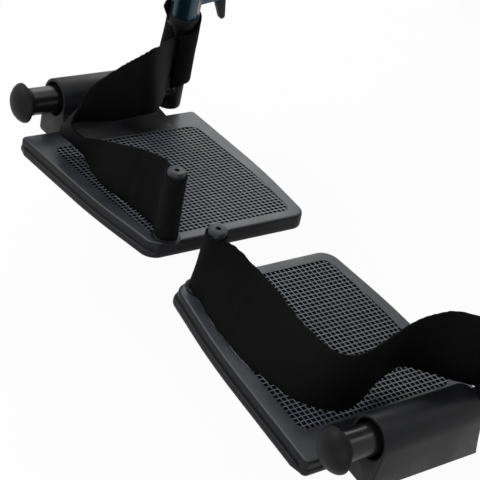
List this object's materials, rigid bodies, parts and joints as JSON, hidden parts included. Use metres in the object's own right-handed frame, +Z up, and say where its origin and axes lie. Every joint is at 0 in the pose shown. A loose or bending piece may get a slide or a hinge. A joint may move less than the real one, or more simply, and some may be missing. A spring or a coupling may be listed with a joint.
{
  "type": "lightweight folding wheelchair",
  "caption": "Folding transit wheelchair with swing-away hangers, flip-up footplates with foot straps, flip-back arms and cloth seat and back.",
  "frame": {"origin": "on the floor, under the centre of the whole chair's box", "axes": "+Z up, -Y forward, the way the user faces, and +X to the user's left"},
  "size_m": [0.568, 1.0422, 0.9226],
  "materials": {
    "frame_paint": "smooth teal-blue enamel on metal tube",
    "foot_tube": "gloss black enamel on metal tube",
    "moulded_plastic": "satin black moulded nylon, lightly grained",
    "grip_rubber": "matt black rubber",
    "webbing": "black ribbed polyester webbing",
    "upholstery": "black coated nylon cloth",
    "tyre": "dark grey solid tyre",
    "bright_steel": "zinc-plated steel"
  },
  "bodies": {
    "left_side": {"side_frame_left": "frame_paint", "push_grip_left": "grip_rubber", "rear_axle_left": "bright_steel", "wheel_lock_bracket_left": "foot_tube"},
    "rear_wheel_left": {"rear_wheel_left": "moulded_plastic", "rear_tyre_left": "tyre"},
    "caster_fork_left": {"caster_fork_left": "foot_tube", "caster_axle_left": "bright_steel"},
    "caster_wheel_left": {"caster_wheel_left": "moulded_plastic", "caster_tyre_left": "tyre"},
    "wheel_lock_left": {"wheel_lock_lever_left": "bright_steel", "wheel_lock_grip_left": "grip_rubber"},
    "armrest_left": {"armrest_frame_left": "frame_paint", "armrest_pad_left": "upholstery", "skirt_guard_left": "moulded_plastic"},
    "hanger_left": {"hanger_left": "frame_paint"},
    "hanger_release_left": {"hanger_release_lever_left": "moulded_plastic"},
    "height_lock_left": {"height_lock_lever_left": "moulded_plastic"},
    "footrest_left": {"footrest_tube_left": "foot_tube", "footrest_tube_cap_left": "grip_rubber", "foot_strap_left": "webbing"},
    "footplate_left": {"footplate_left": "moulded_plastic", "strap_post_screw_left": "foot_tube"},
    "right_side": {"side_frame_right": "frame_paint", "push_grip_right": "grip_rubber", "rear_axle_right": "bright_steel", "wheel_lock_bracket_right": "foot_tube", "back_sling": "upholstery"},
    "rear_wheel_right": {"rear_wheel_right": "moulded_plastic", "rear_tyre_right": "tyre"},
    "caster_fork_right": {"caster_fork_right": "foot_tube", "caster_axle_right": "bright_steel"},
    "caster_wheel_right": {"caster_wheel_right": "moulded_plastic", "caster_tyre_right": "tyre"},
    "wheel_lock_right": {"wheel_lock_lever_right": "bright_steel", "wheel_lock_grip_right": "grip_rubber"},
    "armrest_right": {"armrest_frame_right": "frame_paint", "armrest_pad_right": "upholstery", "skirt_guard_right": "moulded_plastic"},
    "hanger_right": {"hanger_right": "frame_paint"},
    "hanger_release_right": {"hanger_release_lever_right": "moulded_plastic"},
    "height_lock_right": {"height_lock_lever_right": "moulded_plastic"},
    "footrest_right": {"footrest_tube_right": "foot_tube", "footrest_tube_cap_right": "grip_rubber", "foot_strap_right": "webbing"},
    "footplate_right": {"footplate_right": "moulded_plastic", "strap_post_screw_right": "foot_tube"},
    "brace_front": {"cross_brace_front": "frame_paint", "brace_pivot_bolt": "bright_steel", "seat_sling": "upholstery"},
    "brace_rear": {"cross_brace_rear": "frame_paint"}
  },
  "joints": [
    {"name": "fold", "type": "hinge", "parent": "right_side", "child": "brace_front", "pos_m": [-0.186, 0.12542, 0.24], "axis": [0, -1, 0], "range_deg": [0, 38.5], "deforming": ["seat_sling", "back_sling"]},
    {"name": "brace_scissor", "type": "hinge", "parent": "brace_front", "child": "brace_rear", "pos_m": [0, 0.12542, 0.3415], "axis": [0, -1, 0], "range_deg": [-77, 0]},
    {"name": "left_side_fold", "type": "hinge", "parent": "brace_rear", "child": "left_side", "pos_m": [0.186, 0.12542, 0.24], "axis": [0, -1, 0], "range_deg": [0, 38.5]},
    {"name": "footplate_flip_left", "type": "hinge", "parent": "footrest_left", "child": "footplate_left", "pos_m": [0.2095, -0.36972, 0.07637], "axis": [0, 0.9397, -0.342], "range_deg": [0, 86.62], "deforming": ["foot_strap_left"]},
    {"name": "footrest_height_left", "type": "slide", "parent": "hanger_left", "child": "footrest_left", "axis": [0, 0.294, 0.9558], "range_m": [-0.0125, 0.025]},
    {"name": "hanger_swing_left", "type": "hinge", "parent": "left_side", "child": "hanger_left", "pos_m": [0.218, -0.09458, 0.26], "axis": [0, 0, 1], "range_deg": [0, 90]},
    {"name": "hanger_release_left", "type": "hinge", "parent": "hanger_left", "child": "hanger_release_left", "pos_m": [0.2315, -0.17258, 0.345], "axis": [1, 0, 0], "range_deg": [0, 30]},
    {"name": "height_lock_left", "type": "hinge", "parent": "hanger_left", "child": "height_lock_left", "pos_m": [0.2095, -0.31384, 0.14916], "axis": [1, 0, 0], "range_deg": [0, 90]},
    {"name": "armrest_left", "type": "hinge", "parent": "left_side", "child": "armrest_left", "pos_m": [0.258, 0.36723, 0.64], "axis": [-1, 0, 0], "range_deg": [0, 100]},
    {"name": "wheel_lock_left", "type": "hinge", "parent": "left_side", "child": "wheel_lock_left", "pos_m": [0.2362, 0.20142, 0.262], "axis": [-1, 0, 0], "range_deg": [0, 39]},
    {"name": "caster_swivel_left", "type": "hinge", "parent": "left_side", "child": "caster_fork_left", "pos_m": [0.218, -0.04958, 0.142], "axis": [0, 0, 1], "continuous": true},
    {"name": "caster_spin_left", "type": "hinge", "parent": "caster_fork_left", "child": "caster_wheel_left", "pos_m": [0.218, -0.00458, 0.0625], "axis": [1, 0, 0], "continuous": true},
    {"name": "wheel_spin_left", "type": "hinge", "parent": "left_side", "child": "rear_wheel_left", "pos_m": [0.262, 0.35042, 0.15], "axis": [1, 0, 0], "continuous": true},
    {"name": "footplate_flip_right", "type": "hinge", "parent": "footrest_right", "child": "footplate_right", "pos_m": [-0.2095, -0.36972, 0.07637], "axis": [0, -0.9397, 0.342], "range_deg": [0, 86.62], "deforming": ["foot_strap_right"]},
    {"name": "footrest_height_right", "type": "slide", "parent": "hanger_right", "child": "footrest_right", "axis": [0, 0.294, 0.9558], "range_m": [-0.0125, 0.025]},
    {"name": "hanger_swing_right", "type": "hinge", "parent": "right_side", "child": "hanger_right", "pos_m": [-0.218, -0.09458, 0.26], "axis": [0, 0, -1], "range_deg": [0, 90]},
    {"name": "hanger_release_right", "type": "hinge", "parent": "hanger_right", "child": "hanger_release_right", "pos_m": [-0.2315, -0.17258, 0.345], "axis": [1, 0, 0], "range_deg": [0, 30]},
    {"name": "height_lock_right", "type": "hinge", "parent": "hanger_right", "child": "height_lock_right", "pos_m": [-0.2095, -0.31384, 0.14916], "axis": [1, 0, 0], "range_deg": [0, 90]},
    {"name": "armrest_right", "type": "hinge", "parent": "right_side", "child": "armrest_right", "pos_m": [-0.258, 0.36723, 0.64], "axis": [-1, 0, 0], "range_deg": [0, 100]},
    {"name": "wheel_lock_right", "type": "hinge", "parent": "right_side", "child": "wheel_lock_right", "pos_m": [-0.2362, 0.20142, 0.262], "axis": [-1, 0, 0], "range_deg": [0, 39]},
    {"name": "caster_swivel_right", "type": "hinge", "parent": "right_side", "child": "caster_fork_right", "pos_m": [-0.218, -0.04958, 0.142], "axis": [0, 0, 1], "continuous": true},
    {"name": "caster_spin_right", "type": "hinge", "parent": "caster_fork_right", "child": "caster_wheel_right", "pos_m": [-0.218, -0.00458, 0.0625], "axis": [1, 0, 0], "continuous": true},
    {"name": "wheel_spin_right", "type": "hinge", "parent": "right_side", "child": "rear_wheel_right", "pos_m": [-0.262, 0.35042, 0.15], "axis": [1, 0, 0], "continuous": true}
  ],
  "couplings": [
    {"joint": "brace_scissor", "follows": "fold", "ratio": -2},
    {"joint": "left_side_fold", "follows": "fold", "ratio": 1},
    {"joint": "footplate_flip_left", "follows": "fold", "ratio": 2.25},
    {"joint": "footplate_flip_right", "follows": "fold", "ratio": 2.25}
  ]
}
